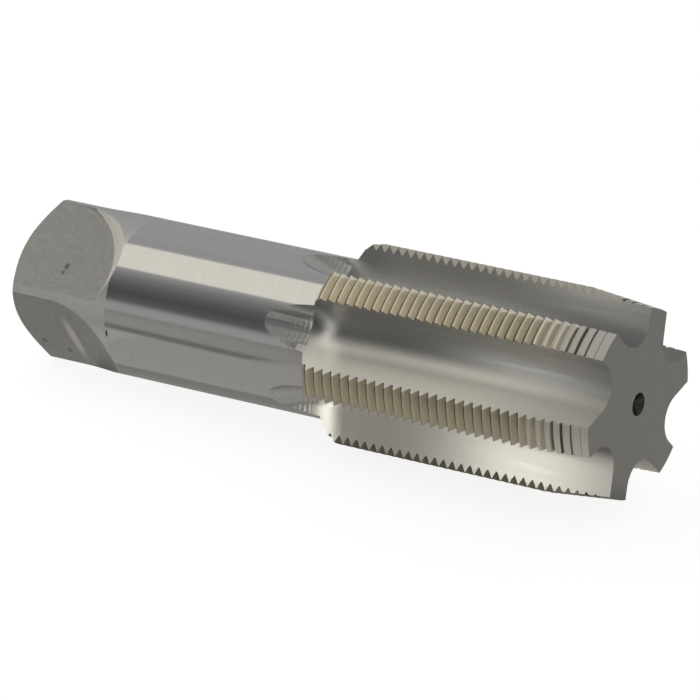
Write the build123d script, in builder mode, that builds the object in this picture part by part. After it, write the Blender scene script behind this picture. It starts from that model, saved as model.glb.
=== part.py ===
from build123d import *
import os
from math import asin, atan2, ceil, cos, degrees, radians, sin, sqrt, tan

# A hand tap for cutting a metric fine thread, 40 mm across with a 2 mm pitch.
# It is ground from one steel bar: a threaded and fluted cutting end, a plain
# round shank, and a square at the back for the wrench.
# Millimetres. X runs along the axis, from the drive end at X = 0 to the tip.
# The tap lies on its side with +Z up. An angle round the axis starts at +Z
# and grows toward +Y, which is clockwise when looking at the tip.

# Overall form
overall_length = 138.0
shank_diameter = 32.0
thread_diameter = 40.0
thread_section_length = 65.8

# Thread
thread_pitch = 2.0
thread_angle = 60.0
crest_width = 0.33
lead_length = 15.0
tip_diameter = 37.06
shoulder_length = 1.4
rear_chamfer_length = 2.0
rear_chamfer_depth = 1.7

# Flutes: each has a radial cutting face, a round root and a sloping heel. The
# width of a land is measured at its gauge diameter.
flute_count = 6
core_diameter = 23.5
flute_root_radius = 5.0
land_width = 6.34
land_gauge_diameter = 37.06
flute_length = 75.5
flute_cutter_radius = 32.5

# Drive square: one pair of flats ends in a round wall, the other runs out
square_across = 23.8
square_turn = -29.0
wall_radius = 16.8
wall_offset = 6.0
wall_corner_chamfer = 3.15
wall_centre_from_end = 8.8
runout_flat_length = 11.5
runout_radius = 25.0

# Ends
drive_chamfer_length = 3.0
drive_face_diameter = 22.0
centre_hole_diameter = 2.1
centre_hole_mouth = 4.55
centre_hole_depth = 6.0
centre_hole_angle = 60.0

# How far a cutting shape reaches past the surface that it cuts
overcut = 1.0

# Sizes that follow from those above
shank_radius = shank_diameter / 2
thread_radius = thread_diameter / 2
tip_radius = tip_diameter / 2
core_radius = core_diameter / 2
flat_height = square_across / 2
thread_start = overall_length - thread_section_length
shoulder_end = thread_start + shoulder_length
flute_step = 360 / flute_count
land_gauge_radius = land_gauge_diameter / 2
land_angle = degrees(land_width / land_gauge_radius)
outer_radius = max(thread_radius, tip_radius) + overcut


def on_section(radius, angle):
    """The point (across, up) at a radius and an angle, on a section square to the axis."""
    return (radius * sin(radians(angle)), radius * cos(radians(angle)))


def spun(angle, shift=0.0):
    """The place of an upright cutting shape once it is turned round the axis."""
    return Location((shift, 0, 0), (-angle, 0, 0))


# The turned blank: shank, threaded section with its lead taper, and both ends
with BuildPart() as thread_tap:
    with BuildSketch(Plane.XZ) as blank_section:
        with BuildLine():
            Polyline(
                (0, 0),
                (0, drive_face_diameter / 2),
                (drive_chamfer_length, shank_radius),
                (thread_start, shank_radius),
                (shoulder_end, thread_radius - rear_chamfer_depth),
                (shoulder_end + rear_chamfer_length, thread_radius),
                (overall_length - lead_length, thread_radius),
                (overall_length, tip_radius),
                (overall_length, 0),
                close=True,
            )
        make_face()
    revolve(axis=Axis.X)

# One flute, upright at the top of the tap. The grinding wheel runs straight
# along the thread and leaves through the shank on its own radius.
wheel_axis_height = core_radius + flute_cutter_radius
runout_depth = shank_radius - core_radius
wheel_reach = sqrt(flute_cutter_radius**2 - (flute_cutter_radius - runout_depth) ** 2)
wheel_x = overall_length - flute_length + wheel_reach

# The root circle touches the core and the radial cutting face
face_angle = (flute_step - land_angle) / 2
root_distance = core_radius + flute_root_radius
root_angle = face_angle - degrees(asin(flute_root_radius / root_distance))
root_centre = on_section(root_distance, root_angle)
face_root = on_section(sqrt(root_distance**2 - flute_root_radius**2), face_angle)
face_top = (outer_radius * tan(radians(face_angle)), outer_radius)

# The heel is the line from the land's back corner that touches the root circle
heel_corner = on_section(land_gauge_radius, -face_angle)
to_centre = (root_centre[0] - heel_corner[0], root_centre[1] - heel_corner[1])
centre_distance = sqrt(to_centre[0] ** 2 + to_centre[1] ** 2)
heel_slope = degrees(atan2(to_centre[1], to_centre[0])) - degrees(
    asin(flute_root_radius / centre_distance)
)
heel_run = sqrt(centre_distance**2 - flute_root_radius**2)
heel_root = (
    heel_corner[0] + heel_run * cos(radians(heel_slope)),
    heel_corner[1] + heel_run * sin(radians(heel_slope)),
)
heel_rise = outer_radius - heel_corner[1]
heel_top = (heel_corner[0] + heel_rise / tan(radians(heel_slope)), outer_radius)
core_point = on_section(core_radius, root_angle)

with BuildPart() as flute_cutter:
    with BuildSketch(Plane.YZ.offset(wheel_x)) as flute_profile:
        with BuildLine():
            Line(face_top, face_root)
            ThreePointArc(face_root, core_point, heel_root)
            Line(heel_root, heel_top)
            Line(heel_top, face_top)
        make_face()
    extrude(amount=overall_length - wheel_x + overcut)
    revolve(
        flute_profile.sketch,
        axis=Axis((wheel_x, 0, wheel_axis_height), (0, 1, 0)),
        revolution_arc=90,
    )

# The thread, as the rack of sharp teeth that cuts it out of the blank. The rack
# follows the right-hand helix across a little more than one land, and its last
# tooth stands at the tip.
thread_lean = tan(radians(thread_angle / 2))
root_radius = thread_radius - (thread_pitch - crest_width) / 2 / thread_lean
rack_top = thread_radius + crest_width / 2
half_mouth = (rack_top - root_radius) * thread_lean
groove_count = ceil(thread_section_length / thread_pitch) + 2
rack_start = overall_length - (groove_count - 1) * thread_pitch
rack_outline = [(rack_start - half_mouth, outer_radius)]
for groove in range(groove_count):
    middle = rack_start + groove * thread_pitch
    rack_outline += [
        (middle - half_mouth, rack_top),
        (middle, root_radius),
        (middle + half_mouth, rack_top),
    ]
rack_outline.append((middle + half_mouth, outer_radius))

rack_sweep = flute_step / 2
with BuildPart() as thread_rack:
    with BuildLine() as helix:
        Helix(
            pitch=thread_pitch,
            height=thread_pitch * rack_sweep / 360,
            radius=thread_radius,
            direction=(1, 0, 0),
        )
    helix_start = helix.line @ 0
    start_outward = Vector(0, helix_start.Y, helix_start.Z)
    start_square = Vector(1, 0, 0).cross(start_outward)
    with BuildSketch(Plane((0, 0, 0), x_dir=(1, 0, 0), z_dir=start_square)):
        with BuildLine():
            Polyline(*rack_outline, close=True)
        make_face()
    sweep(path=helix.line, is_frenet=True)
rack_middle = degrees(atan2(helix_start.Y, helix_start.Z)) - rack_sweep / 2

# The flat that ends in a round wall, made upright: its mill runs in off centre
flat_cut_height = shank_radius - flat_height + overcut
with BuildPart() as walled_flat:
    with BuildSketch(Plane.XY.offset(flat_height)):
        with Locations((wall_centre_from_end, -wall_offset)):
            Circle(wall_radius)
    extrude(amount=flat_cut_height)
    chamfer(walled_flat.edges().group_by(Axis.Z)[0], length=wall_corner_chamfer)
    with BuildSketch(Plane.XY.offset(flat_height)):
        with Locations(((wall_centre_from_end - overcut) / 2, 0)):
            Rectangle(wall_centre_from_end + overcut, shank_diameter + 2 * overcut)
    extrude(amount=flat_cut_height)

# The flat that runs out on the radius of its cutter
runout_top = flat_height + flat_cut_height
runout_reach = sqrt(runout_radius**2 - (runout_radius - flat_cut_height) ** 2)
with BuildPart() as runout_flat:
    with BuildSketch(Plane.XZ) as runout_section:
        with BuildLine():
            Line((-overcut, runout_top), (-overcut, flat_height))
            Line((-overcut, flat_height), (runout_flat_length, flat_height))
            RadiusArc(
                (runout_flat_length, flat_height),
                (runout_flat_length + runout_reach, runout_top),
                -runout_radius,
            )
            Line((runout_flat_length + runout_reach, runout_top), (-overcut, runout_top))
        make_face()
    extrude(amount=shank_radius + overcut, both=True)

# The blank is cut: drive square, centre holes, flutes, then a thread on each land
land_angles = [(number + 0.5) * flute_step for number in range(flute_count)]
with thread_tap:
    with Locations(spun(square_turn), spun(square_turn + 180)):
        add(walled_flat.part, mode=Mode.SUBTRACT)
    with Locations(spun(square_turn + 90), spun(square_turn - 90)):
        add(runout_flat.part, mode=Mode.SUBTRACT)
    for end_x, outward in ((overall_length, 1), (0, -1)):
        with Locations(Plane((end_x, 0, 0), z_dir=(outward, 0, 0))):
            CounterSinkHole(
                radius=centre_hole_diameter / 2,
                counter_sink_radius=centre_hole_mouth / 2,
                depth=centre_hole_depth,
                counter_sink_angle=centre_hole_angle,
            )
    with Locations(*[spun(number * flute_step) for number in range(flute_count)]):
        add(flute_cutter.part, mode=Mode.SUBTRACT)
    with Locations(
        *[spun(angle - rack_middle, -thread_pitch * angle / 360) for angle in land_angles]
    ):
        add(thread_rack.part, mode=Mode.SUBTRACT)

thread_tap.part.label = "thread_tap"
os.makedirs("parts", exist_ok=True)
export_step(thread_tap.part, "parts/thread_tap.step")
print("solids", len(thread_tap.part.solids()), "volume mm3", round(thread_tap.part.volume))
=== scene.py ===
"""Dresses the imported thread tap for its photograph: ground steel, studio light and camera.

Everything is worked out in millimetres in the frame of the CAD model and brought to metres
at the end. X runs along the axis from the drive end to the tip, and an angle round the axis
starts at +Z and grows toward +Y.
"""

import logging
from dataclasses import dataclass, field
from enum import Enum
from itertools import pairwise
from math import acos, asin, atan, atan2, ceil, cos, degrees, pi, radians, sin, sqrt, tan
from typing import Any

import bpy
from mathutils import Matrix, Vector

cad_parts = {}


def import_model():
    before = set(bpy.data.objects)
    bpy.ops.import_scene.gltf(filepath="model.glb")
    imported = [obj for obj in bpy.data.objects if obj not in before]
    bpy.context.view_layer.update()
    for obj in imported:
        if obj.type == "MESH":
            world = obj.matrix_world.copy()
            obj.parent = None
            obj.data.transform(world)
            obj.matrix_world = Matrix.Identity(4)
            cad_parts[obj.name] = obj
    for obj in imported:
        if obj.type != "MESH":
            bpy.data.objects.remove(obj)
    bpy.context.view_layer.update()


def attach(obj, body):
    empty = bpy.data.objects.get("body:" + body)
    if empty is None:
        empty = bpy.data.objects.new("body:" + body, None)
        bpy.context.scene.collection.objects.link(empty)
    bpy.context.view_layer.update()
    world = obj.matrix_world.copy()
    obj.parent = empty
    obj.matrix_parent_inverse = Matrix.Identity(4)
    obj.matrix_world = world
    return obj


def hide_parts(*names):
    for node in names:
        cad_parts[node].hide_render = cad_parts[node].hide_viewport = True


log = logging.getLogger("thread_tap")

MM = 0.001
X_AXIS = (1.0, 0.0, 0.0)
Y_AXIS = (0.0, 1.0, 0.0)
CLOSE = 0.01

Pair = tuple[float, float]
Point = tuple[float, float, float]
Socket = bpy.types.NodeSocket
Tree = bpy.types.NodeTree


def linear(hex_colour: str) -> tuple[float, float, float, float]:
    """Turns an sRGB hex colour into linear light.

    Args:
        hex_colour: The colour as "#RRGGBB".

    Returns:
        Red, green, blue and alpha, as Blender's sockets take them.
    """

    def channel(value: int) -> float:
        """Takes one channel from sRGB to linear."""
        share = value / 255
        return share / 12.92 if share <= 0.04045 else ((share + 0.055) / 1.055) ** 2.4

    red, green, blue = (int(hex_colour[i : i + 2], 16) for i in (1, 3, 5))
    return (channel(red), channel(green), channel(blue), 1.0)


def add_node(
    tree: Tree, kind: str, inputs: dict[Any, Any] | None = None, **settings: Any
) -> bpy.types.Node:
    """Adds a node with its settings, values and links.

    Args:
        tree: The node tree that it goes into.
        kind: Blender's name of the node's type.
        inputs: Value or source socket for each input, by its name or number.
        settings: Properties of the node itself.

    Returns:
        The new node.
    """
    node = tree.nodes.new(kind)
    for name, value in settings.items():
        setattr(node, name, value)
    for name, value in (inputs or {}).items():
        if isinstance(value, bpy.types.NodeSocket):
            tree.links.new(value, node.inputs[name])
        else:
            node.inputs[name].default_value = value
    return node


def on_section(radius: float, angle: float) -> Pair:
    """The point (y, z) at a radius and an angle round the axis."""
    return (radius * sin(radians(angle)), radius * cos(radians(angle)))


def activate(piece: bpy.types.Object) -> None:
    """Selects one object alone and makes it the active one.

    Args:
        piece: The object.
    """
    bpy.ops.object.select_all(action="DESELECT")
    piece.select_set(True)
    bpy.context.view_layer.objects.active = piece


def edit(piece: bpy.types.Object, mode: str = "VERT") -> None:
    """Opens an object in edit mode with nothing selected.

    Args:
        piece: The object.
        mode: What is selected from then on: VERT, EDGE or FACE.
    """
    activate(piece)
    bpy.ops.object.mode_set(mode="EDIT")
    bpy.ops.mesh.select_mode(type=mode)
    bpy.ops.mesh.select_all(action="DESELECT")


def leave_edit() -> None:
    """Closes edit mode."""
    bpy.ops.object.mode_set(mode="OBJECT")


def finish_solid() -> None:
    """Turns all faces of the solid outwards and closes edit mode."""
    bpy.ops.mesh.select_all(action="SELECT")
    bpy.ops.mesh.normals_make_consistent(inside=False)
    leave_edit()


def apply_place(piece: bpy.types.Object) -> None:
    """Moves an object's place, turn and scale into its mesh."""
    activate(piece)
    bpy.ops.object.transform_apply(location=True, rotation=True, scale=True)


def start_point(name: str, at: Point) -> bpy.types.Object:
    """Starts a new outline with one selected point and stays in edit mode.

    Args:
        name: The object's name.
        at: The place of the point.

    Returns:
        The new object.
    """
    bpy.ops.object.select_all(action="DESELECT")
    bpy.ops.mesh.primitive_plane_add(size=1, location=at)
    piece = bpy.context.object
    piece.name = name
    apply_place(piece)
    edit(piece)
    bpy.ops.mesh.select_all(action="SELECT")
    bpy.ops.mesh.merge(type="CENTER")
    bpy.ops.mesh.select_all(action="SELECT")
    return piece


def line_to(start: Point, end: Point) -> None:
    """Draws an edge from the selected point at start to a new point at end."""
    step = tuple(b - a for a, b in zip(start, end))
    bpy.ops.mesh.extrude_vertices_move(TRANSFORM_OT_translate={"value": step})


def turned(name: str, stations: list[Pair], segments: int) -> bpy.types.Object:
    """Turns a closed solid about the X axis, as on a lathe.

    Args:
        name: The object's name.
        stations: Place along the axis and radius of each corner of the outline.
        segments: How many flats stand for the round.

    Returns:
        The new solid, in object mode.
    """
    first_x, first_radius = stations[0]
    bpy.ops.object.select_all(action="DESELECT")
    bpy.ops.mesh.primitive_circle_add(
        vertices=segments,
        radius=first_radius,
        fill_type="NGON",
        location=(first_x, 0, 0),
        rotation=(0, pi / 2, 0),
    )
    piece = bpy.context.object
    piece.name = name
    apply_place(piece)
    edit(piece, "FACE")
    bpy.ops.mesh.select_all(action="SELECT")
    for (x0, r0), (x1, r1) in pairwise(stations):
        bpy.ops.mesh.extrude_region_move(TRANSFORM_OT_translate={"value": (x1 - x0, 0, 0)})
        share = r1 / r0
        bpy.ops.transform.resize(value=(1, share, share), center_override=(x1, 0, 0))
    finish_solid()
    return piece


def copy_round(piece: bpy.types.Object, angle: float, shift: float = 0.0) -> bpy.types.Object:
    """Copies a cutting shape, with its own mesh, to another place round the axis.

    Args:
        piece: The cutting shape, upright at the top.
        angle: The angle round the axis, in degrees.
        shift: How far the copy moves along the axis.

    Returns:
        The copy.
    """
    twin = piece.copy()
    twin.data = piece.data.copy()
    bpy.context.scene.collection.objects.link(twin)
    twin.rotation_euler = (-radians(angle), 0, 0)
    twin.location = (shift, 0, 0)
    apply_place(twin)
    return twin


def cut(piece: bpy.types.Object, cutter: bpy.types.Object) -> None:
    """Cuts one solid out of another and removes the cutting shape.

    Args:
        piece: The solid that is cut.
        cutter: The cutting shape.
    """
    activate(piece)
    boolean = piece.modifiers.new("cut", "BOOLEAN")
    boolean.operation = "DIFFERENCE"
    boolean.solver = "MANIFOLD"
    boolean.object = cutter
    bpy.ops.object.modifier_apply(modifier=boolean.name)
    bpy.data.objects.remove(cutter)


class Grain(Enum):
    """The way in which a grinding wheel or cutter has left its lines."""

    AROUND = "round the axis"
    LENGTHWISE = "along the axis"
    FACED = "straight across the face"
    SWIRLED = "loose swirls"


@dataclass(frozen=True)
class Mark:
    """A stain or nick on the steel, or a painted highlight on it.

    Attributes:
        centre: Its middle, in millimetres.
        reach: How far it reaches along X, Y and Z, in millimetres.
        strength: How strongly it shows at its middle, from 0 to 1.
        full: The part of its reach within which it shows at full strength.
    """

    centre: Point
    reach: Point
    strength: float
    full: float = 0.35

    def share(self, tree: Tree, place: Socket) -> Socket:
        """Works out how strongly the mark shows at a place.

        Args:
            tree: The material's node tree.
            place: The place, in millimetres.

        Returns:
            A share from 0 to the mark's strength.
        """
        for operation, other in (("SUBTRACT", self.centre), ("DIVIDE", self.reach)):
            place = add_node(
                tree, "ShaderNodeVectorMath", {0: place, 1: other}, operation=operation
            ).outputs[0]
        away = add_node(tree, "ShaderNodeVectorMath", {0: place}, operation="LENGTH")
        fade = {"From Min": 1.0, "From Max": self.full, "To Max": self.strength}
        fade["Value"] = away.outputs["Value"]
        return add_node(
            tree, "ShaderNodeMapRange", fade, interpolation_type="SMOOTHSTEP"
        ).outputs[0]


# How fast the tool marks change, in units of noise: in a radian round the axis, and in a
# millimetre of radius, along a flute and along the lines of a face.
RING_CHANGE = 1.3
RADIUS_CHANGE = 0.2
STREAK_CHANGE = 0.045
FACE_CHANGE = 0.05

# Lean of the fine lines on the faced ends.
FACE_LEAN = radians(6.8)

# The noise of the tool marks and of the soft stains.
LINE_NOISE = {"Scale": 1.0, "Detail": 3.0, "Roughness": 0.65}
PATCH_NOISE = {"Detail": 4.0, "Roughness": 0.6}

# The stretch of its noise over which each of these takes effect.
STAIN_RANGE = {"From Min": 0.42, "From Max": 0.78}
TONE_RANGE = {"From Min": 0.3, "From Max": 0.75, "To Max": 0.35}
GLOSS_RANGE = {"From Min": 0.25, "From Max": 0.75}

# Radius at which the scallops are spaced round the axis, and how many fit there in the
# length that one takes along it.
SCALLOP_RADIUS = 13.0
SCALLOPS_ROUND = 0.8

STAIN_COLOUR = "#3A3735"
# Pale colour of the painted highlights.
PAINTED_HIGHLIGHT_COLOUR = "#FBF8F0"


@dataclass(frozen=True)
class SteelFinish:
    """A finish of high-speed steel, with its colour, polish and tool marks.

    Attributes:
        name: The material's name.
        light: Colour of the clean metal.
        dark: Colour in its stains and tool marks.
        roughness: Mean roughness.
        grain: The lie of the tool marks.
        spread: How far the tool marks change the roughness.
        line_width: Width of one tool mark in millimetres.
        depth: Height of the tool marks in millimetres.
        patch_size: Size of the soft stains in millimetres.
        patch_share: How strongly the stains darken the metal.
        anisotropy: How far the marks stretch a highlight.
        stains: Dark marks on it.
        painted_highlights: Painted highlights on it, laid on as pale colour.
        scallop: Spacing of the scallops in millimetres, or 0 for none.
        scallop_depth: Height of the scallops in millimetres.
    """

    name: str
    light: str
    dark: str
    roughness: float
    grain: Grain
    spread: float = 0.05
    line_width: float = 0.3
    depth: float = 0.001
    patch_size: float = 6.0
    patch_share: float = 0.3
    anisotropy: float = 0.0
    stains: tuple[Mark, ...] = ()
    painted_highlights: tuple[Mark, ...] = ()
    scallop: float = 0.0
    scallop_depth: float = 0.0

    @staticmethod
    def unrolled(tree: Tree, place: Socket) -> Socket:
        """Rolls the round surface out flat.

        Args:
            tree: The material's node tree.
            place: The place, in millimetres.

        Returns:
            The place along the axis, its angle in radians and its distance from the axis.
        """
        x, y, z = add_node(tree, "ShaderNodeSeparateXYZ", {0: place}).outputs
        turn = add_node(tree, "ShaderNodeMath", {0: y, 1: z}, operation="ARCTAN2").outputs[0]
        section = add_node(tree, "ShaderNodeCombineXYZ", {1: y, 2: z}).outputs[0]
        radius = add_node(tree, "ShaderNodeVectorMath", {0: section}, operation="LENGTH")
        parts = {0: x, 1: turn, 2: radius.outputs["Value"]}
        return add_node(tree, "ShaderNodeCombineXYZ", parts).outputs[0]

    def grain_vector(self, tree: Tree, place: Socket) -> Socket:
        """Builds the coordinates in which the tool marks run straight.

        Args:
            tree: The material's node tree.
            place: The place, in millimetres.

        Returns:
            A vector with one unit across one tool mark.
        """
        if self.grain is Grain.SWIRLED:
            return place
        across = 1 / self.line_width
        stretch = (STREAK_CHANGE, across, across)
        if self.grain is Grain.AROUND:
            place = self.unrolled(tree, place)
            stretch = (across, RING_CHANGE, RADIUS_CHANGE)
        elif self.grain is Grain.FACED:
            x, _, z = add_node(tree, "ShaderNodeSeparateXYZ", {0: place}).outputs
            square = add_node(
                tree, "ShaderNodeVectorMath",
                {0: place, 1: (0.0, cos(FACE_LEAN), -sin(FACE_LEAN))},
                operation="DOT_PRODUCT",
            ).outputs["Value"]
            place = add_node(tree, "ShaderNodeCombineXYZ", {0: square, 1: z, 2: x}).outputs[0]
            stretch = (across, FACE_CHANGE, FACE_CHANGE)
        return add_node(
            tree, "ShaderNodeVectorMath", {0: place, 1: stretch}, operation="MULTIPLY"
        ).outputs[0]

    def scallops(self, tree: Tree, place: Socket, under: Socket) -> Socket:
        """Adds the cross-hatched scallops that a stepping wheel leaves as it lifts.

        Args:
            tree: The material's node tree.
            place: The place, in millimetres.
            under: The bump that they lie on.

        Returns:
            The bump with the scallops.
        """
        wave = 2 * pi / self.scallop
        rate = (wave, wave * SCALLOPS_ROUND * SCALLOP_RADIUS, 0.0)
        phase = add_node(
            tree, "ShaderNodeVectorMath", {0: self.unrolled(tree, place), 1: rate},
            operation="MULTIPLY",
        ).outputs[0]
        waves = add_node(
            tree, "ShaderNodeVectorMath", {0: phase}, operation="SINE"
        ).outputs[0]
        height = add_node(
            tree, "ShaderNodeVectorMath", {0: waves, 1: (1.0, 1.0, 0.0)},
            operation="DOT_PRODUCT",
        ).outputs["Value"]
        relief = {"Height": height, "Strength": 1.0, "Distance": self.scallop_depth * MM}
        return add_node(tree, "ShaderNodeBump", {"Normal": under, **relief}).outputs[0]

    def colour(self, tree: Tree, place: Socket, lines: Socket) -> Socket:
        """Lays the stains, tool marks, nicks and painted highlights over the clean metal.

        Args:
            tree: The material's node tree.
            place: The place, in millimetres.
            lines: The noise of the tool marks.

        Returns:
            The metal's colour.
        """
        noise = {"Vector": place, "Scale": 1 / self.patch_size, **PATCH_NOISE}
        patches = add_node(tree, "ShaderNodeTexNoise", noise).outputs["Fac"]
        reach = {"Value": patches, "To Max": self.patch_share, **STAIN_RANGE}
        stain = add_node(tree, "ShaderNodeMapRange", reach).outputs[0]
        tone = add_node(tree, "ShaderNodeMapRange", {"Value": lines, **TONE_RANGE}).outputs[0]
        darker = add_node(
            tree, "ShaderNodeMath", {0: stain, 1: tone}, operation="MAXIMUM"
        ).outputs[0]
        layers = [(darker, self.dark)]
        # Painted highlights: pale colour that stands in for light.
        layers += [(mark.share(tree, place), PAINTED_HIGHLIGHT_COLOUR) for mark in self.painted_highlights]
        layers += [(mark.share(tree, place), STAIN_COLOUR) for mark in self.stains]
        steel = linear(self.light)
        for share, over in layers:
            inputs = {0: share, 6: steel, 7: linear(over)}
            steel = add_node(tree, "ShaderNodeMix", inputs, data_type="RGBA").outputs[2]
        return steel

    def build(self) -> bpy.types.Material:
        """Builds the material with its nodes.

        Returns:
            The finished material.
        """
        material = bpy.data.materials.new(self.name)
        material.use_nodes = True
        tree = material.node_tree
        shader = tree.nodes["Principled BSDF"]
        coordinates = add_node(tree, "ShaderNodeTexCoord").outputs["Object"]
        place = add_node(
            tree, "ShaderNodeVectorMath", {0: coordinates, "Scale": 1 / MM}, operation="SCALE"
        ).outputs[0]
        noise = {"Vector": self.grain_vector(tree, place), **LINE_NOISE}
        lines = add_node(tree, "ShaderNodeTexNoise", noise).outputs["Fac"]
        low, high = self.roughness - self.spread, self.roughness + self.spread
        gloss = {"Value": lines, "To Min": low, "To Max": high, **GLOSS_RANGE}
        rough = add_node(tree, "ShaderNodeMapRange", gloss).outputs[0]
        relief = {"Height": lines, "Strength": 1.0, "Distance": self.depth * MM}
        bump = add_node(tree, "ShaderNodeBump", relief).outputs[0]
        if self.scallop:
            bump = self.scallops(tree, place, bump)
        tree.links.new(self.colour(tree, place, lines), shader.inputs["Base Color"])
        tree.links.new(rough, shader.inputs["Roughness"])
        tree.links.new(bump, shader.inputs["Normal"])
        shader.inputs["Metallic"].default_value = 1.0
        if self.anisotropy:
            along = add_node(tree, "ShaderNodeCombineXYZ", {0: 1.0}).outputs[0]
            tree.links.new(along, shader.inputs["Tangent"])
            shader.inputs["Anisotropic"].default_value = self.anisotropy
            quarter = 0.25 if self.grain is Grain.LENGTHWISE else 0.0
            shader.inputs["Anisotropic Rotation"].default_value = quarter
        return material


# Dark nick at the edge of the ground length.
NICK = Mark((25.7, -16.0, -0.9), (0.35, 2.0, 1.1), 1.0)

# Dark smudges on the two flats that show.
FLAT_SMUDGES = (
    Mark((12.5, -9.4, 8.4), (0.7, 1.2, 0.9), 0.6),
    Mark((12.4, -10.8, 7.6), (0.6, 0.8, 0.7), 0.5),
    Mark((4.1, -8.0, -10.1), (0.8, 0.8, 1.0), 0.5),
    Mark((9.5, -7.2, -11.6), (0.7, 0.7, 0.9), 0.5),
)
# Painted highlight: a pale streak across the run-out flat where it starts to curve, for the
# light that the curve catches.
RUNOUT_HIGHLIGHT = Mark((12.9, -9.6, -7.2), (1.5, 6.0, 10.0), 0.4)

# The flutes' painted heel highlights: their angle from the flute's middle, radius and middle
# along the axis, and how far each reaches.
HEEL_COUNT = 6
HEEL_ANGLE = -16.0
HEEL_RADIUS = 15.9
HEEL_MIDDLE = 97.0
HEEL_REACH = (90.0, 7.0, 7.0)


def heel_highlight(number: int) -> Mark:
    """Gives the painted highlight along a flute's heel, which fades into the root.

    Args:
        number: The flute's number, counted from the top one toward +Y.

    Returns:
        The painted highlight, which runs the flute's whole length.
    """
    y, z = on_section(HEEL_RADIUS, 360 / HEEL_COUNT * number + HEEL_ANGLE)
    return Mark((HEEL_MIDDLE, y, z), HEEL_REACH, 1.0, full=0.6)


# Cylindrically ground high-speed steel: clear bands of light with fine rings round the shank.
GROUND_SHANK = SteelFinish(
    "ground_shank_steel", "#CAC9C7", "#B4B3B1", 0.13, Grain.AROUND, spread=0.02,
    line_width=0.28, depth=0.0004, patch_size=9.0, anisotropy=0.5, stains=(NICK,),
)
# Turned and hardened skin behind the ground length: soft and dull.
TURNED_SKIN = SteelFinish(
    "turned_hardened_steel", "#D2D1CE", "#BCBBB8", 0.42, Grain.AROUND, spread=0.04,
    line_width=0.4, patch_size=5.0, patch_share=0.5, anisotropy=0.3, stains=(NICK,),
)
# Slab-milled flats of the square: even and dull, with faint swirls, smudges and a painted
# highlight.
MILLED_FLAT = SteelFinish(
    "milled_steel", "#A5A4A2", "#8B8A88", 0.56, Grain.SWIRLED, spread=0.04, depth=0.002,
    patch_size=4.0, patch_share=0.5, stains=FLAT_SMUDGES, painted_highlights=(RUNOUT_HIGHLIGHT,),
)
# Round wall at the end of a flat: left rough by the mill's corner. Its pale colour is a painted
# highlight for the light that it catches.
MILLED_WALL = SteelFinish(
    "milled_wall_steel", "#F2F0EA", "#DAD8D2", 0.72, Grain.SWIRLED, spread=0.04,
    patch_size=3.0,
)
# Fluting wheel's long cut: satin, with long fine streaks that spread light across them. Its
# heels are brighter by a painted highlight, which stands in for the light that they catch.
# Its brighter heels are a guess from the photo, where some of that brightness may be light.
GROUND_FLUTE = SteelFinish(
    "ground_flute_steel", "#A6A5A3", "#868583", 0.35, Grain.LENGTHWISE, line_width=0.2,
    depth=0.002, patch_size=7.0, anisotropy=1.0,
    painted_highlights=tuple(heel_highlight(number) for number in range(HEEL_COUNT)),
)
# Where the fluting wheel lifts out: cross-hatched with fine scallops.
SCALLOPED_RUNOUT = SteelFinish(
    "scalloped_runout_steel", "#CBCAC6", "#A3A2A0", 0.3, Grain.SWIRLED, patch_size=7.0,
    scallop=1.0, scallop_depth=0.012,
)
# Thread flanks ground with oil: a light straw tint.
GROUND_THREAD = SteelFinish(
    "ground_thread_steel", "#E6DFCE", "#CBC4B3", 0.3, Grain.AROUND, patch_share=0.4,
)
# Sharp crests of the full thread: painted dark, as painted shade for the thin dark lines that
# shade draws between the teeth.
SHARP_CREST = SteelFinish(
    "sharp_crest_steel", "#8C8577", "#6E685C", 0.5, Grain.AROUND, patch_share=0.4,
)
# Shallow grooves at the end of the lead: dark, taken to be with oil.
DARK_LEAD_GROOVE = SteelFinish(
    "dark_lead_groove_steel", "#8A8375", "#6B6559", 0.5, Grain.AROUND, patch_share=0.4,
)
# Relieved crests of the lead: bright and silvery.
GROUND_CREST = SteelFinish(
    "ground_crest_steel", "#ECE9E0", "#CFCBC0", 0.45, Grain.AROUND, patch_size=3.0,
    patch_share=0.4,
)
# Faced ends: even mid grey with straight fine lines.
FACED_END = SteelFinish(
    "faced_steel", "#A3A19E", "#898784", 0.38, Grain.FACED, spread=0.04, depth=0.002,
    patch_size=9.0,
)
# Drilled centre holes: dark, with darker patches.
DRILLED_BORE = SteelFinish(
    "drilled_steel", "#5C5955", "#2B2927", 0.35, Grain.SWIRLED, spread=0.08, depth=0.004,
    patch_size=1.0, patch_share=0.8,
)


@dataclass
class TurnedBlank:
    """The bar as it leaves the lathe: shank, threaded section and both ends.

    Places are along the axis. The shank's ground length starts at ground_from.
    """

    overall_length: float = 138.0
    shank_radius: float = 16.0
    thread_radius: float = 20.0
    thread_start: float = 72.2
    shoulder_length: float = 1.4
    rear_chamfer_length: float = 2.0
    rear_chamfer_depth: float = 1.7
    lead_length: float = 15.0
    tip_radius: float = 18.53
    drive_chamfer: float = 3.0
    ground_from: float = 25.4
    drive_face_radius: float = 11.0
    segments: int = 256

    def build(self) -> bpy.types.Object:
        """Turns the blank.

        Returns:
            The blank as one closed solid.
        """
        shoulder_end = self.thread_start + self.shoulder_length
        return turned(
            "ground_tap",
            [
                (0, self.drive_face_radius),
                (self.drive_chamfer, self.shank_radius),
                (self.ground_from, self.shank_radius),
                (self.thread_start, self.shank_radius),
                (shoulder_end, self.thread_radius - self.rear_chamfer_depth),
                (shoulder_end + self.rear_chamfer_length, self.thread_radius),
                (self.overall_length - self.lead_length, self.thread_radius),
                (self.overall_length, self.tip_radius),
            ],
            self.segments,
        )


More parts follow.
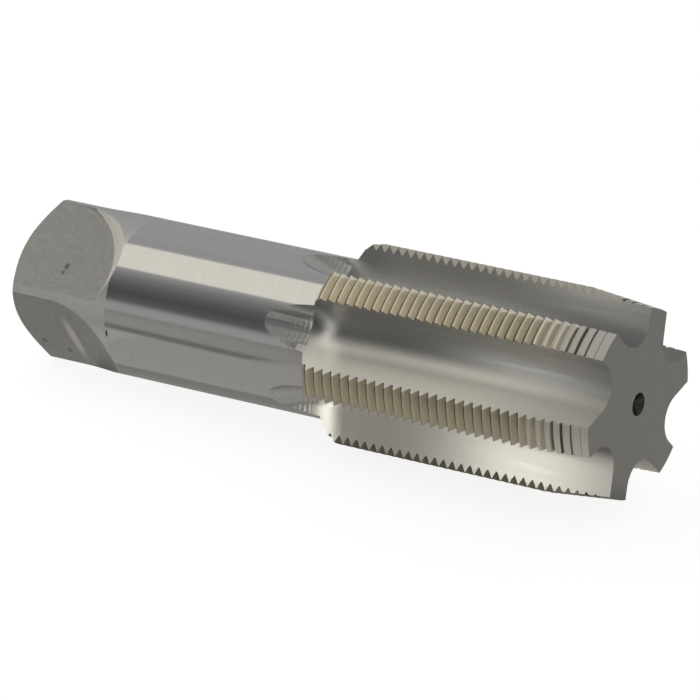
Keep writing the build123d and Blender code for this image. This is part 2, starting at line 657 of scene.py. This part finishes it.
@dataclass
class Flutes:
    """The six flutes, each as the wheel leaves it.

    The wheel has a round edge of root_radius, runs down to core_radius and leaves through
    the shank on its own radius.
    """

    blank: TurnedBlank
    count: int = 6
    core_radius: float = 11.75
    root_radius: float = 5.0
    land_width: float = 6.34
    length: float = 75.5
    wheel_radius: float = 32.5
    root_steps: int = 20
    runout_steps: int = 28
    spare: float = 1.0

    @property
    def step(self) -> float:
        """Angle from one flute to the next, in degrees."""
        return 360 / self.count

    @property
    def face_angle(self) -> float:
        """Angle from a flute's middle to its cutting face, in degrees."""
        return (self.step - degrees(self.land_width / self.blank.tip_radius)) / 2

    @property
    def wheel_height(self) -> float:
        """Height of the wheel's axis over the tap's axis."""
        return self.core_radius + self.wheel_radius

    @property
    def wheel_x(self) -> float:
        """Where the wheel stops on its way along the tap.

        Returns:
            The place of its axis, in millimetres.
        """
        depth = self.blank.shank_radius - self.core_radius
        reach = sqrt(self.wheel_radius**2 - (self.wheel_radius - depth) ** 2)
        return self.blank.overall_length - self.length + reach

    def cutter(self) -> bpy.types.Object:
        """Builds one upright flute as a solid to cut with.

        Returns:
            The cutting shape.
        """
        top = self.blank.thread_radius + self.spare
        distance = self.core_radius + self.root_radius
        root_angle = self.face_angle - degrees(asin(self.root_radius / distance))
        centre = on_section(distance, root_angle)
        face_root = on_section(sqrt(distance**2 - self.root_radius**2), self.face_angle)
        face_top = (top * tan(radians(self.face_angle)), top)
        corner = on_section(self.blank.tip_radius, -self.face_angle)
        away = (centre[0] - corner[0], centre[1] - corner[1])
        apart = sqrt(away[0] ** 2 + away[1] ** 2)
        slope = atan2(away[1], away[0]) - asin(self.root_radius / apart)
        run = sqrt(apart**2 - self.root_radius**2)
        heel_root = (corner[0] + run * cos(slope), corner[1] + run * sin(slope))
        heel_top = (corner[0] + (top - corner[1]) / tan(slope), top)

        def turn(point: Pair) -> float:
            """Angle of a point seen from the root's centre."""
            return atan2(point[1] - centre[1], point[0] - centre[0])

        sweep = (turn(face_root) - turn(heel_root)) % (2 * pi)
        x = self.wheel_x
        piece = start_point("flute_cutter", (x, *face_top))
        line_to((x, *face_top), (x, *face_root))
        bpy.ops.mesh.spin(
            steps=self.root_steps, angle=sweep, center=(x, *centre), axis=X_AXIS
        )
        line_to((x, *heel_root), (x, *heel_top))
        bpy.ops.mesh.select_all(action="SELECT")
        bpy.ops.mesh.edge_face_add()
        along = self.blank.overall_length - x + self.spare
        bpy.ops.mesh.extrude_region_move(TRANSFORM_OT_translate={"value": (along, 0, 0)})
        bpy.ops.mesh.select_mode(type="FACE")
        bpy.ops.mesh.select_all(action="DESELECT")
        leave_edit()
        for face in piece.data.polygons:
            face.select = abs(face.center.x - x) < CLOSE and abs(face.normal.x) > END_FACING
        bpy.ops.object.mode_set(mode="EDIT")
        hub = (x, 0, self.wheel_height)
        bpy.ops.mesh.spin(steps=self.runout_steps, angle=-pi / 2, center=hub, axis=Y_AXIS)
        finish_solid()
        return piece

    def cut_into(self, piece: bpy.types.Object) -> None:
        """Cuts all the flutes into the blank.

        Args:
            piece: The blank.
        """
        model = self.cutter()
        for number in range(self.count):
            cut(piece, copy_round(model, number * self.step))
        bpy.data.objects.remove(model)


@dataclass
class Thread:
    """The ground thread, cut land by land with a rack of sharp teeth.

    The rack follows the helix through its sweep, which is a little more than one land.
    """

    blank: TurnedBlank
    flutes: Flutes
    pitch: float = 2.0
    depth: float = 1.38
    angle: float = 60.0
    crest: float = 0.1
    sweep: float = 30.0
    steps: int = 16

    def rack(self) -> bpy.types.Object:
        """Builds the grooves of one upright land as solids to cut with.

        Returns:
            The cutting shapes of all the grooves, in one object.
        """
        lean = tan(radians(self.angle / 2))
        root = self.blank.thread_radius - self.depth
        top = self.blank.thread_radius + self.crest / 2
        half_root = (self.pitch - self.crest) / 2 - self.depth * lean
        half_mouth = half_root + (top - root) * lean
        threaded = self.blank.overall_length - self.blank.thread_start
        count = ceil(threaded / self.pitch) + 2
        first = self.blank.overall_length - (count - 1) * self.pitch
        corners = [
            (first - half_mouth, 0.0, top),
            (first - half_root, 0.0, root),
            (first + half_root, 0.0, root),
            (first + half_mouth, 0.0, top),
        ]
        piece = start_point("thread_cutter", corners[0])
        for start, end in pairwise(corners):
            line_to(start, end)
        bpy.ops.mesh.select_all(action="SELECT")
        bpy.ops.mesh.edge_face_add()
        bpy.ops.mesh.delete(type="ONLY_FACE")
        leave_edit()
        piece.rotation_euler = (-radians(self.sweep / 2), 0, 0)
        apply_place(piece)
        helix = piece.modifiers.new("helix", "SCREW")
        helix.axis = "X"
        helix.angle = radians(self.sweep)
        helix.screw_offset = self.pitch * self.sweep / 360
        helix.steps = helix.render_steps = self.steps
        helix.use_smooth_shade = False
        bpy.ops.object.modifier_apply(modifier=helix.name)
        edit(piece)
        bpy.ops.mesh.select_all(action="SELECT")
        bpy.ops.mesh.fill_holes(sides=0)
        finish_solid()
        repeat = piece.modifiers.new("repeat", "ARRAY")
        repeat.count = count
        repeat.use_relative_offset = False
        repeat.use_constant_offset = True
        repeat.constant_offset_displace = (self.pitch, 0, 0)
        bpy.ops.object.modifier_apply(modifier=repeat.name)
        return piece

    def cut_into(self, piece: bpy.types.Object) -> None:
        """Cuts the thread into every land.

        Args:
            piece: The blank with its flutes.
        """
        model = self.rack()
        for number in range(self.flutes.count):
            angle = (number + 0.5) * self.flutes.step
            cut(piece, copy_round(model, angle, -self.pitch * angle / 360))
        bpy.data.objects.remove(model)


@dataclass
class DriveSquare:
    """The four flats at the back: one pair ends in a round wall, the other runs out.

    The wall flares outwards by wall_flare for each unit of height. The mill that left it
    stood off the tap's middle by wall_offset.
    """

    blank: TurnedBlank
    across: float = 23.8
    turn: float = -29.0
    wall_radius: float = 18.2
    wall_flare: float = 0.87
    wall_blend: float = 0.5
    wall_offset: float = 7.2
    wall_centre: float = 4.8
    runout_flat_length: float = 11.5
    runout_radius: float = 25.0
    spare: float = 1.0
    round_segments: int = 160
    blend_segments: int = 6
    runout_steps: int = 20

    @property
    def height(self) -> float:
        """Distance of a flat from the axis."""
        return self.across / 2

    def walled_cutters(self) -> list[bpy.types.Object]:
        """Builds the mill's round end and the straight cut behind it.

        Returns:
            The two cutting shapes, upright.
        """
        tall = self.blank.shank_radius - self.height + self.spare
        middle = self.height + tall / 2
        bpy.ops.object.select_all(action="DESELECT")
        bpy.ops.mesh.primitive_cone_add(
            vertices=self.round_segments,
            radius1=self.wall_radius,
            radius2=self.wall_radius + self.wall_flare * tall,
            depth=tall,
            location=(self.wall_centre, -self.wall_offset, middle),
        )
        mill = bpy.context.object
        mill.name = "mill_cutter"
        apply_place(mill)
        edit(mill, "EDGE")
        leave_edit()
        corners = mill.data.vertices
        for side in mill.data.edges:
            side.select = all(
                corners[index].co.z < self.height + CLOSE for index in side.vertices
            )
        bpy.ops.object.mode_set(mode="EDIT")
        bpy.ops.mesh.bevel(
            offset=self.wall_blend, segments=self.blend_segments, affect="EDGES"
        )
        leave_edit()
        length = self.wall_centre + self.spare
        bpy.ops.object.select_all(action="DESELECT")
        bpy.ops.mesh.primitive_cube_add(
            size=1,
            location=(self.wall_centre - length / 2, 0, middle),
            scale=(length, 2 * (self.blank.shank_radius + self.spare), tall),
        )
        pass_cut = bpy.context.object
        pass_cut.name = "pass_cutter"
        apply_place(pass_cut)
        return [mill, pass_cut]

    def runout_cutter(self) -> bpy.types.Object:
        """Builds the cut that runs out on the radius of its cutter.

        Returns:
            The cutting shape, upright.
        """
        wide = self.blank.shank_radius + self.spare
        tall = self.blank.shank_radius - self.height + self.spare
        top = self.height + tall
        angle = acos((self.runout_radius - tall) / self.runout_radius)
        corners = (
            (-self.spare, -wide, top),
            (-self.spare, -wide, self.height),
            (self.runout_flat_length, -wide, self.height),
        )
        piece = start_point("runout_cutter", corners[0])
        for start, end in pairwise(corners):
            line_to(start, end)
        hub = (self.runout_flat_length, -wide, self.height + self.runout_radius)
        bpy.ops.mesh.spin(steps=self.runout_steps, angle=angle, center=hub, axis=Y_AXIS)
        bpy.ops.mesh.select_all(action="SELECT")
        bpy.ops.mesh.edge_face_add()
        bpy.ops.mesh.extrude_region_move(TRANSFORM_OT_translate={"value": (0, 2 * wide, 0)})
        finish_solid()
        return piece

    def cut_into(self, piece: bpy.types.Object) -> None:
        """Cuts the four flats.

        Args:
            piece: The blank.
        """
        models = [(cutter, self.turn) for cutter in self.walled_cutters()]
        models.append((self.runout_cutter(), self.turn - 90))
        for model, first in models:
            for angle in (first, first + 180):
                cut(piece, copy_round(model, angle))
            bpy.data.objects.remove(model)


@dataclass
class CentreHoles:
    """The two 60 degree centre holes that held the tap between the grinder's centres."""

    blank: TurnedBlank
    mouth_radius: float = 2.275
    pilot_radius: float = 1.05
    depth: float = 6.0
    half_angle: float = 30.0
    spare: float = 0.4
    segments: int = 64

    def cut_into(self, piece: bpy.types.Object) -> None:
        """Cuts a centre hole into each end.

        Args:
            piece: The tap.
        """
        lean = tan(radians(self.half_angle))
        cone = (self.mouth_radius - self.pilot_radius) / lean
        wide = self.mouth_radius + self.spare * lean
        for end, inward in ((self.blank.overall_length, -1), (0.0, 1)):
            stations = [
                (end - inward * self.spare, wide),
                (end + inward * cone, self.pilot_radius),
                (end + inward * self.depth, self.pilot_radius),
            ]
            cut(piece, turned("centre_cutter", stations, self.segments))


# How closely a face's normal follows a direction, as a cosine: an end face the axis, the
# shank's round and a crest the way outwards, and a thread's flank the axis.
END_FACING = 0.99
ROUND_FACING = 0.99
CREST_FACING = 0.985
FLANK_FACING = 0.4

# A face of the flat's round wall looks back toward the drive end and leans between these.
WALL_FACING = 0.3
WALL_LEAN = (0.4, 0.85)

# How far a face's middle may lie from the shank's radius, and inside the tip's radius.
ROUND_ERROR = 0.05
CREST_ERROR = 0.1


@dataclass
class GroundTap:
    """The whole tap, one solid piece of high-speed steel.

    Attributes:
        blank: The turned bar.
        flats_end: Place along the axis between the flats' ends and the flutes' run-outs.
        smooth_from: Where the scalloped run-outs end and the flutes turn smooth.
        dark_groove_from: Where the lead's grooves turn darker.
        sharp_angle: The least turn, in degrees, that leaves an edge sharp.
    """

    blank: TurnedBlank = field(default_factory=TurnedBlank)
    flats_end: float = 37.4
    smooth_from: float = 70.8
    dark_groove_from: float = 130.5
    sharp_angle: float = 24.0

    def __post_init__(self) -> None:
        """Lays out the cuts on the blank's sizes."""
        self.flutes = Flutes(self.blank)
        self.thread = Thread(self.blank, self.flutes)
        self.square = DriveSquare(self.blank)
        self.holes = CentreHoles(self.blank)

    def build(self) -> bpy.types.Object:
        """Makes the tap and dresses it.

        Returns:
            The finished piece, in metres.
        """
        piece = self.blank.build()
        self.square.cut_into(piece)
        log.info("drive square cut: %d faces", len(piece.data.polygons))
        self.flutes.cut_into(piece)
        log.info("flutes cut: %d faces", len(piece.data.polygons))
        self.thread.cut_into(piece)
        log.info("thread cut: %d faces", len(piece.data.polygons))
        self.holes.cut_into(piece)
        self.dress(piece)
        piece.scale = (MM, MM, MM)
        apply_place(piece)
        bpy.ops.object.shade_smooth_by_angle(angle=radians(self.sharp_angle))
        weighted = piece.modifiers.new("weighted", "WEIGHTED_NORMAL")
        weighted.keep_sharp = True
        bpy.ops.object.modifier_apply(modifier=weighted.name)
        return piece

    def on_wall(self, normal: Vector) -> bool:
        """Tells whether a face belongs to the round wall at the end of a flat.

        Args:
            normal: The face's normal.

        Returns:
            Whether it leans away from both pairs of flats.
        """
        turn = radians(self.square.turn)
        upright = abs(normal.y * sin(turn) + normal.z * cos(turn))
        return normal.x < -WALL_FACING and WALL_LEAN[0] < upright < WALL_LEAN[1]

    def finish_of(self, centre: Vector, normal: Vector) -> SteelFinish:
        """Tells which operation left a face, by its place and normal.

        Args:
            centre: The face's middle, in millimetres.
            normal: The face's normal.

        Returns:
            The finish of that face.
        """
        blank = self.blank
        radius = sqrt(centre.y**2 + centre.z**2)
        outward = (normal.y * centre.y + normal.z * centre.z) / max(radius, CLOSE)
        from_end = min(centre.x, blank.overall_length - centre.x)
        if abs(normal.x) > END_FACING and from_end < CLOSE:
            return FACED_END
        if radius < self.holes.mouth_radius and from_end < self.holes.depth + CLOSE:
            return DRILLED_BORE
        if centre.x < blank.thread_start - CLOSE:
            if abs(radius - blank.shank_radius) < ROUND_ERROR and outward > ROUND_FACING:
                return GROUND_SHANK if centre.x > blank.ground_from else TURNED_SKIN
            if centre.x > self.smooth_from:
                return GROUND_FLUTE
            if centre.x > self.flats_end:
                return SCALLOPED_RUNOUT
            return MILLED_WALL if self.on_wall(normal) else MILLED_FLAT
        if outward > CREST_FACING and radius > blank.tip_radius - CREST_ERROR:
            full = centre.x < blank.overall_length - blank.lead_length
            return SHARP_CREST if full else GROUND_CREST
        if abs(normal.x) > FLANK_FACING:
            return GROUND_THREAD if centre.x < self.dark_groove_from else DARK_LEAD_GROOVE
        return GROUND_FLUTE

    def dress(self, piece: bpy.types.Object) -> None:
        """Gives every face the finish that its operation left.

        Args:
            piece: The tap, in millimetres.
        """
        slots: dict[str, int] = {}
        for polygon in piece.data.polygons:
            finish = self.finish_of(polygon.center, polygon.normal)
            if finish.name not in slots:
                slots[finish.name] = len(piece.data.materials)
                piece.data.materials.append(finish.build())
            polygon.material_index = slots[finish.name]
        log.info("finishes: %s", ", ".join(slots))


@dataclass
class Floor:
    """The pale floor, laid under the tap as it lies at rest on its thread and drive end.

    Attributes:
        front_x: Where the thread rests on it, at the height front_z.
        back_x: Where the drive end rests on it, at the height back_z.
        width: Its width in metres.
        plain_colour: Its colour in the steel and for bounced light.
        shade_colour: How much of the light that falls on it the camera sees.
        glow: What is added to that, so that it comes out overexposed.
    """

    front_x: float = 73.4
    front_z: float = -18.77
    back_x: float = 3.0
    back_z: float = -15.59
    width: float = 4.0
    plain_colour: str = "#E4E3E1"
    shade_colour: str = "#A0A0A0"
    glow: float = 0.86

    def height_at(self, x: float) -> float:
        """Gives the floor's height under a place along the tap.

        Args:
            x: The place, in millimetres.

        Returns:
            The height in millimetres.
        """
        slope = (self.back_z - self.front_z) / (self.front_x - self.back_x)
        return self.front_z + (self.front_x - x) * slope

    def build(self) -> None:
        """Lays the floor against the two places on which the tap rests."""
        lean = atan(self.height_at(0) - self.height_at(1))
        bpy.ops.object.select_all(action="DESELECT")
        bpy.ops.mesh.primitive_plane_add(
            size=self.width,
            location=(self.front_x * MM, 0, self.front_z * MM),
            rotation=(0, lean, 0),
        )
        floor = bpy.context.object
        floor.name = "studio_floor"
        apply_place(floor)
        floor.data.materials.append(self.paper())

    def paper(self) -> bpy.types.Material:
        """White background paper, overexposed for the camera but still taking the shadow.

        Returns:
            The material.
        """
        material = bpy.data.materials.new("background_paper")
        material.use_nodes = True
        tree = material.node_tree
        tree.nodes.clear()
        plain, shade = (
            add_node(tree, "ShaderNodeBsdfDiffuse", {"Color": linear(colour)}).outputs[0]
            for colour in (self.plain_colour, self.shade_colour)
        )
        glow = add_node(
            tree, "ShaderNodeEmission", {"Color": linear("#FFFFFF"), "Strength": self.glow}
        ).outputs[0]
        lit = add_node(tree, "ShaderNodeAddShader", {0: shade, 1: glow}).outputs[0]
        seen = add_node(tree, "ShaderNodeLightPath").outputs["Is Camera Ray"]
        mixed = add_node(tree, "ShaderNodeMixShader", {0: seen, 1: plain, 2: lit}).outputs[0]
        add_node(tree, "ShaderNodeOutputMaterial", {"Surface": mixed})
        return material


def oblong(x_range: Pair, y_range: Pair) -> tuple[Pair, ...]:
    """Gives the corners of an oblong sheet.

    Args:
        x_range: Its two ends along the tap, in millimetres.
        y_range: Its two ends across the tap.

    Returns:
        The four corners in order.
    """
    (left, right), (front, back) = x_range, y_range
    return ((left, front), (right, front), (right, back), (left, back))


# Cards that stand before the tap: name, level, and the stretch of the front flute in which
# each shows. A level of 1 is white and 0 is black.
STANDING_CARDS = (
    ("black_card_left", 0.05, (79, 111)),
    ("bright_strip", 4.2, (111, 128)),
    ("black_card_right", 0.05, (128, 170)),
)

# Sheets on the floor, which show as bands along the steel: name, level, and corners.
SHEETS = (
    ("grey_edge", 0.22, oblong((-70, 40), (-63, -47))),
    ("dark_sheet", 0.03, ((44, -76), (150, -76), (150, -215), (-40, -215))),
    ("front_sheet", 0.43, oblong((36, 150), (-75, -22))),
    ("square_sheet", 0.5, oblong((-90, 14), (-47, 2))),
    ("shank_sheet", 0.44, oblong((14, 70), (-47, -13))),
    # Painted shadow: shaded_sheet is the tap's shadow on the floor, as the steel shows it.
    ("shaded_sheet", 0.28, oblong((14, 70), (-13, 2))),
    ("far_sheet", 0.42, oblong((-300, 300), (3, 400))),
)


@dataclass
class Studio:
    """The light tent round the tap: overhead softbox, grey walls and cards on the floor.

    Attributes:
        floor: The floor that the cards stand and lie on.
        box_height: Height of the softbox, with its ends box_x and its sides box_y.
        radiance: Its brightness, where 1 is white.
        sight_slope: How far a line of sight goes along the tap for each millimetre that it
            goes away from it, once the front flute has reflected it.
        flute_y: How far the front flute lies before the axis.
        card_y: How far the standing cards stand before it, with their upper edge at card_top.
        rise: Height of the sheets over the floor.
        walls: Level of the tent's wall by the angle round the tap's axis, from +Z toward +Y.
        coolness: How much more blue than red the walls give.
        end_wall: The tent's linear light beyond the tap's ends, which takes over where the
            cosine between a direction and the axis passes through end_range.
    """

    floor: Floor
    box_height: float = 200.0
    box_x: Pair = (-500.0, 8.0)
    box_y: Pair = (-100.0, 38.0)
    box_colour: str = "#FFFBEC"
    radiance: float = 0.75
    sight_slope: float = 0.6
    flute_y: float = 16.0
    card_y: float = 216.0
    card_top: float = 170.0
    card_colour: str = "#FEFCF6"
    rise: float = 0.4
    walls: tuple[Pair, ...] = (
        (-180, 0.40), (-96, 0.48), (-79, 0.45), (-72, 0.14), (-60, 0.10), (-48, 0.16),
        (-36, 0.28), (-27, 0.42), (-20, 0.32), (8, 0.30), (16, 0.44), (35, 0.48), (90, 0.42),
        (180, 0.40),
    )
    coolness: float = 1.01
    end_wall: tuple[float, float, float, float] = (0.9, 0.89, 0.85, 1)
    end_range: Pair = (0.72, 0.9)

    def world(self) -> None:
        """Sets up the tent's walls, and plain white where the camera looks past the tap."""
        world = bpy.data.worlds.new("light_tent")
        bpy.context.scene.world = world
        world.use_nodes = True
        tree = world.node_tree
        tree.nodes.clear()
        direction = add_node(tree, "ShaderNodeTexCoord").outputs["Generated"]
        x, y, z = add_node(tree, "ShaderNodeSeparateXYZ", {0: direction}).outputs
        angle = add_node(tree, "ShaderNodeMath", {0: y, 1: z}, operation="ARCTAN2").outputs[0]
        turn = {0: angle, 1: 1 / (2 * pi), 2: 0.5}
        share = add_node(tree, "ShaderNodeMath", turn, operation="MULTIPLY_ADD").outputs[0]
        ramp = add_node(tree, "ShaderNodeValToRGB", {"Fac": share})
        stops = ramp.color_ramp.elements
        for number, (at, level) in enumerate(self.walls):
            place = at / 360 + 0.5
            stop = stops[number] if number < 2 else stops.new(place)
            stop.position = place
            stop.color = (level, level, level * self.coolness, 1)
        along = add_node(tree, "ShaderNodeMath", {0: x}, operation="ABSOLUTE").outputs[0]
        begins, full = self.end_range
        side = add_node(
            tree, "ShaderNodeMapRange", {"Value": along, "From Min": begins, "From Max": full}
        ).outputs[0]
        walls = {0: side, 6: ramp.outputs[0], 7: self.end_wall}
        wall = add_node(tree, "ShaderNodeMix", walls, data_type="RGBA").outputs[2]
        tent, white = (
            add_node(tree, "ShaderNodeBackground", {"Color": colour, "Strength": 1.0}).outputs[0]
            for colour in (wall, linear("#FFFFFF"))
        )
        seen = add_node(tree, "ShaderNodeLightPath").outputs["Is Camera Ray"]
        mixed = add_node(tree, "ShaderNodeMixShader", {0: seen, 1: tent, 2: white}).outputs[0]
        add_node(tree, "ShaderNodeOutputWorld", {"Surface": mixed})

    def softbox(self) -> None:
        """Hangs the softbox over the tap, facing down."""
        width = (self.box_x[1] - self.box_x[0]) * MM
        depth = (self.box_y[1] - self.box_y[0]) * MM
        middle = (sum(self.box_x) / 2 * MM, sum(self.box_y) / 2 * MM, self.box_height * MM)
        bpy.ops.object.light_add(type="AREA", location=middle)
        lamp = bpy.context.object
        lamp.name = "overhead_softbox"
        lamp.data.shape = "RECTANGLE"
        lamp.data.size = width
        lamp.data.size_y = depth
        lamp.data.energy = self.radiance * pi * width * depth
        lamp.data.color = linear(self.box_colour)[:3]
        lamp.visible_camera = False

    def over_floor(self, x: float, y: float) -> Point:
        """Gives the point just over the leaning floor.

        Args:
            x: The place along the tap, in millimetres.
            y: The place across the tap.

        Returns:
            The point in millimetres.
        """
        return (x, y, self.floor.height_at(x) + self.rise)

    def standing_corners(self, sights: Pair) -> list[Point]:
        """Gives the corners of a card that stands in front of the tap.

        Args:
            sights: The stretch of the tap's flutes in which the card shows.

        Returns:
            The four corners in order.
        """
        away = self.sight_slope * (self.card_y - self.flute_y)
        left, right = (x - away for x in sights)
        return [
            self.over_floor(left, -self.card_y), self.over_floor(right, -self.card_y),
            (right, -self.card_y, self.card_top), (left, -self.card_y, self.card_top),
        ]

    def card(self, name: str, corners: list[Point], level: float) -> None:
        """Places a card, which shows only in the steel's reflections.

        Args:
            name: The card's name.
            corners: Its corners in order, in millimetres.
            level: Its brightness, where 1 is white and 0 is black.
        """
        card = start_point(name, corners[0])
        for start, end in pairwise(corners):
            line_to(start, end)
        bpy.ops.mesh.select_all(action="SELECT")
        bpy.ops.mesh.edge_face_add()
        leave_edit()
        card.scale = (MM, MM, MM)
        apply_place(card)
        material = bpy.data.materials.new(name)
        material.use_nodes = True
        tree = material.node_tree
        tree.nodes.clear()
        colour = linear(self.card_colour)
        glow = add_node(tree, "ShaderNodeEmission", {"Color": colour, "Strength": level})
        add_node(tree, "ShaderNodeOutputMaterial", {"Surface": glow.outputs[0]})
        card.data.materials.append(material)
        card.visible_camera = False
        card.visible_diffuse = False
        card.visible_shadow = False

    def build(self) -> None:
        """Puts up the tent, its lamp and the cards."""
        self.world()
        self.softbox()
        for name, level, sights in STANDING_CARDS:
            self.card(name, self.standing_corners(sights), level)
        for name, level, corners in SHEETS:
            self.card(name, [self.over_floor(x, y) for x, y in corners], level)
        log.info("cards: %d standing, %d on the floor", len(STANDING_CARDS), len(SHEETS))


@dataclass
class ViewCamera:
    """The photograph's camera, fitted to the tap's outlines.

    Its right, up and back are directions. Its clip, in metres, bounds what it sees.
    """

    place: Point = (676.447, -869.50, 496.18)
    right: Point = (0.836649, 0.543887, -0.064854)
    up: Point = (-0.183342, 0.389651, 0.902529)
    back: Point = (0.516144, -0.743209, 0.425718)
    lens: float = 308.57
    sensor: float = 36.0
    clip: Pair = (0.05, 20.0)

    def build(self) -> None:
        """Sets up the camera."""
        bpy.ops.object.camera_add()
        camera = bpy.context.object
        camera.name = "photo_camera"
        turn = Matrix((self.right, self.up, self.back)).transposed()
        camera.matrix_world = Matrix.Translation(Vector(self.place) * MM) @ turn.to_4x4()
        camera.data.lens = self.lens
        camera.data.sensor_width = self.sensor
        camera.data.clip_start, camera.data.clip_end = self.clip
        bpy.context.scene.camera = camera


def main() -> None:
    """Loads the frame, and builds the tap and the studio."""
    logging.basicConfig(level=logging.INFO, format="%(name)s: %(message)s")
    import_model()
    ViewCamera().build()
    piece = GroundTap().build()
    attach(piece, "root")
    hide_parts("thread_tap")
    log.info("tap done: %d faces", len(piece.data.polygons))
    floor = Floor()
    floor.build()
    Studio(floor).build()
    bpy.context.scene.view_settings.view_transform = "Standard"


if __name__ == "__main__":
    main()
